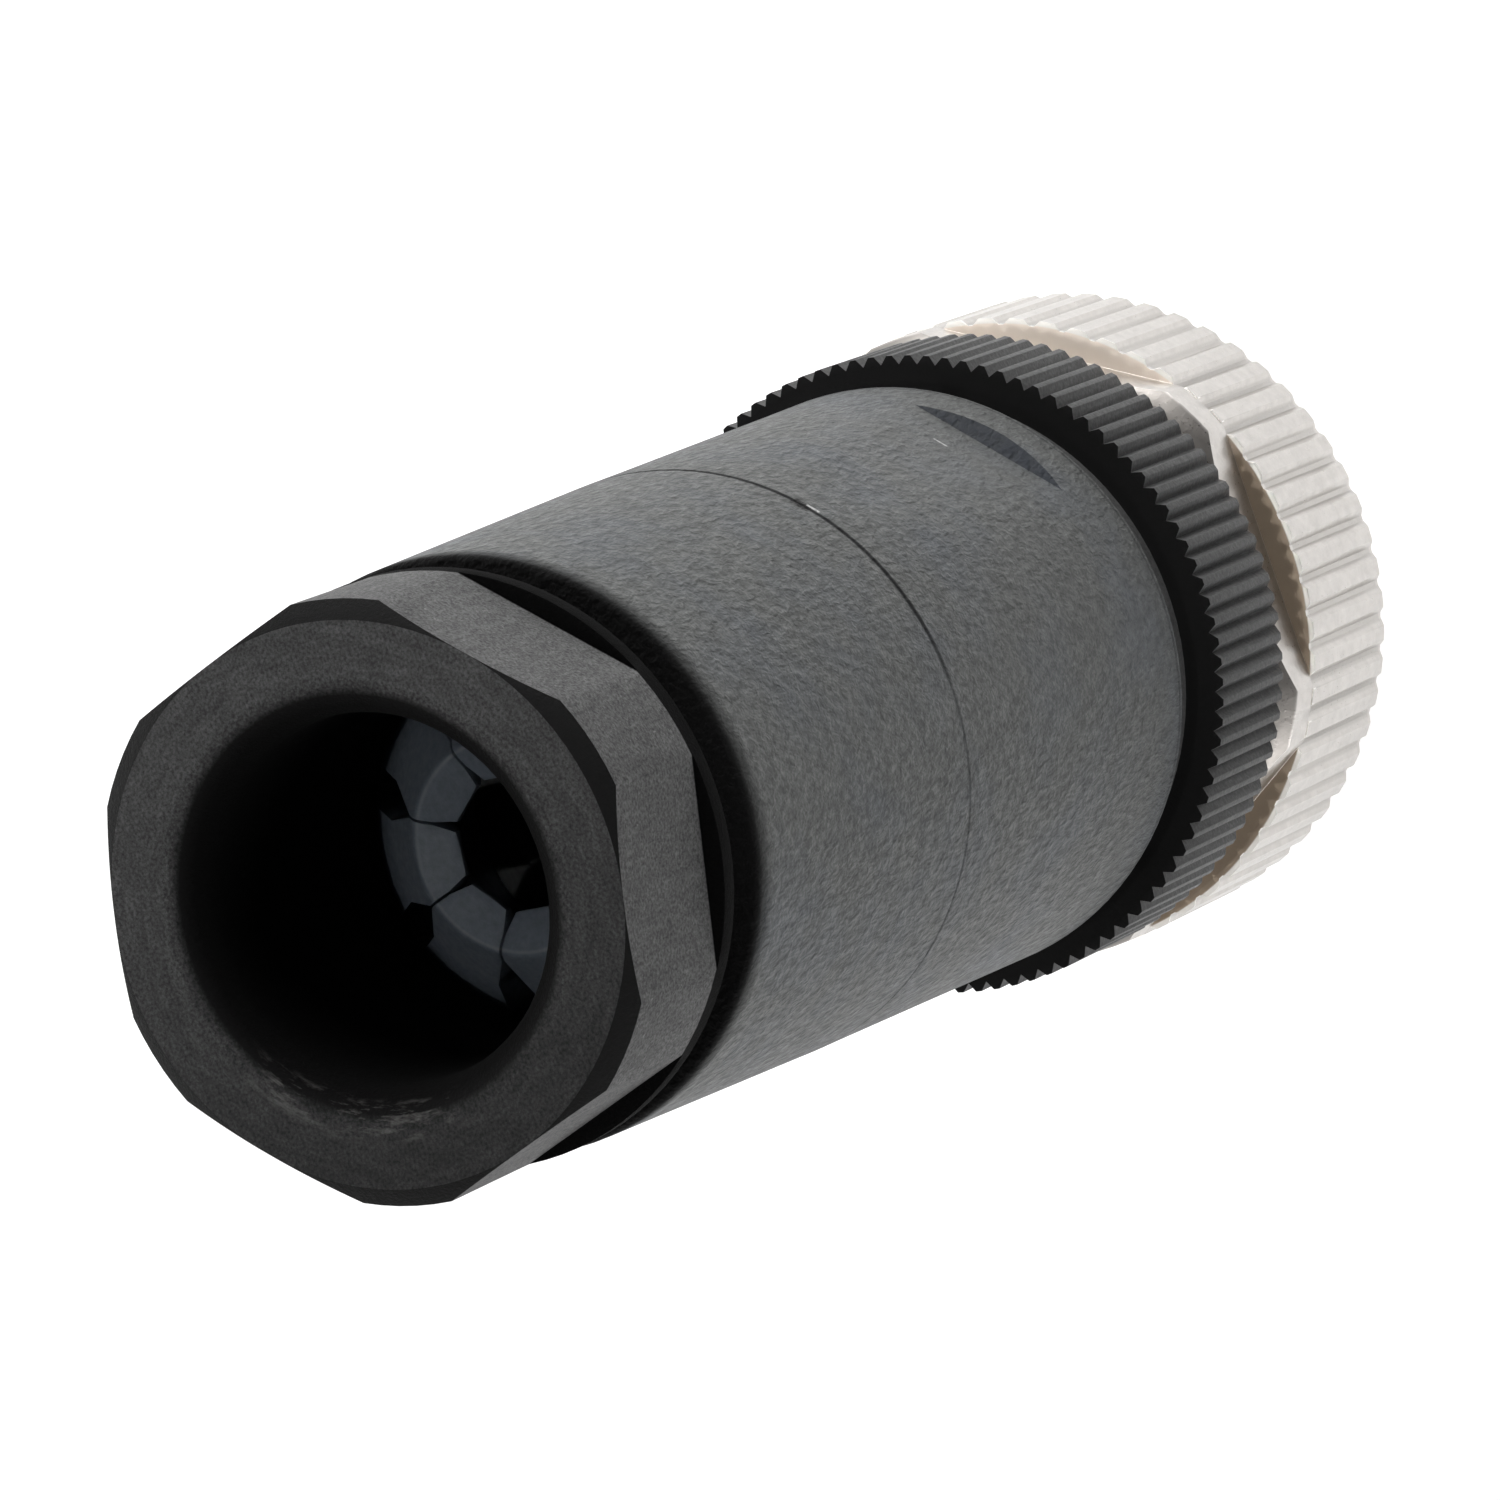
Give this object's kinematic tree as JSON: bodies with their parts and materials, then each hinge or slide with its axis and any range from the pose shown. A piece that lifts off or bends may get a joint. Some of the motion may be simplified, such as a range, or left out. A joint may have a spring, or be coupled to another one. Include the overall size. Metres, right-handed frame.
{
  "type": "m12 connector",
  "caption": "Straight field-wired M12 cable socket with knurled coupling nut, grip ring, tapered sleeve, clamping cage and gland nut.",
  "frame": {"origin": "on the axis, at the mating end of the coupling nut, on which the socket stands", "axes": "+Z along the axis from the mating end to the cable entry; the coding groove is at 130 degrees from +X, and one spanner flat of the sleeve at -50 degrees"},
  "size_m": [0.0204, 0.0204, 0.0503],
  "materials": {
    "nickel": "satin nickel plate on turned brass",
    "steel": "plain zinc-plated steel",
    "gold": "gold-plated brass",
    "rubber": "matt black nitrile rubber",
    "black_ring": "moulded black polyamide",
    "black_insert": "moulded black polyamide",
    "charcoal": "fine-grained charcoal polyamide",
    "blue_grey": "blue-grey polyamide",
    "black_nut": "fine-grained black polyamide"
  },
  "bodies": {
    "front": {"body_ring": "black_ring", "contact_carrier": "black_insert", "contact_1": "gold", "contact_2": "gold", "contact_3": "gold", "contact_4": "gold", "wire_guard_1": "steel", "wire_guard_2": "steel", "wire_guard_3": "steel", "wire_guard_4": "steel", "terminal_screws": "steel", "retaining_ring": "steel", "face_seal": "rubber", "sleeve_seal": "rubber"},
    "coupling": {"coupling_nut": "nickel"},
    "seal": {"cable_seal": "rubber"},
    "housing": {"sleeve": "charcoal"},
    "cage": {"clamping_cage": "blue_grey"},
    "gland": {"gland_nut": "black_nut"}
  },
  "joints": [
    {"name": "coupling_nut_turn", "type": "hinge", "parent": "front", "child": "coupling", "pos_m": [0, 0, 0.0056], "axis": [0, 0, 1], "continuous": true},
    {"name": "sleeve_travel", "type": "slide", "parent": "front", "child": "seal", "axis": [0, 0, 1], "range_m": [0, 0.005]},
    {"name": "sleeve_turn", "type": "hinge", "parent": "seal", "child": "housing", "pos_m": [0, 0, 0.029], "axis": [0, 0, 1], "range_deg": [0, 1800]},
    {"name": "gland_travel", "type": "slide", "parent": "housing", "child": "cage", "axis": [0, 0, 1], "range_m": [-0.00139, 0.003], "deforming": ["cable_seal"]},
    {"name": "gland_turn", "type": "hinge", "parent": "cage", "child": "gland", "pos_m": [0, 0, 0.047], "axis": [0, 0, 1], "range_deg": [-500, 1080]}
  ],
  "couplings": [
    {"joint": "sleeve_turn", "follows": "sleeve_travel", "rad_per_m": 6283.2},
    {"joint": "gland_turn", "follows": "gland_travel", "rad_per_m": 6283.2}
  ]
}
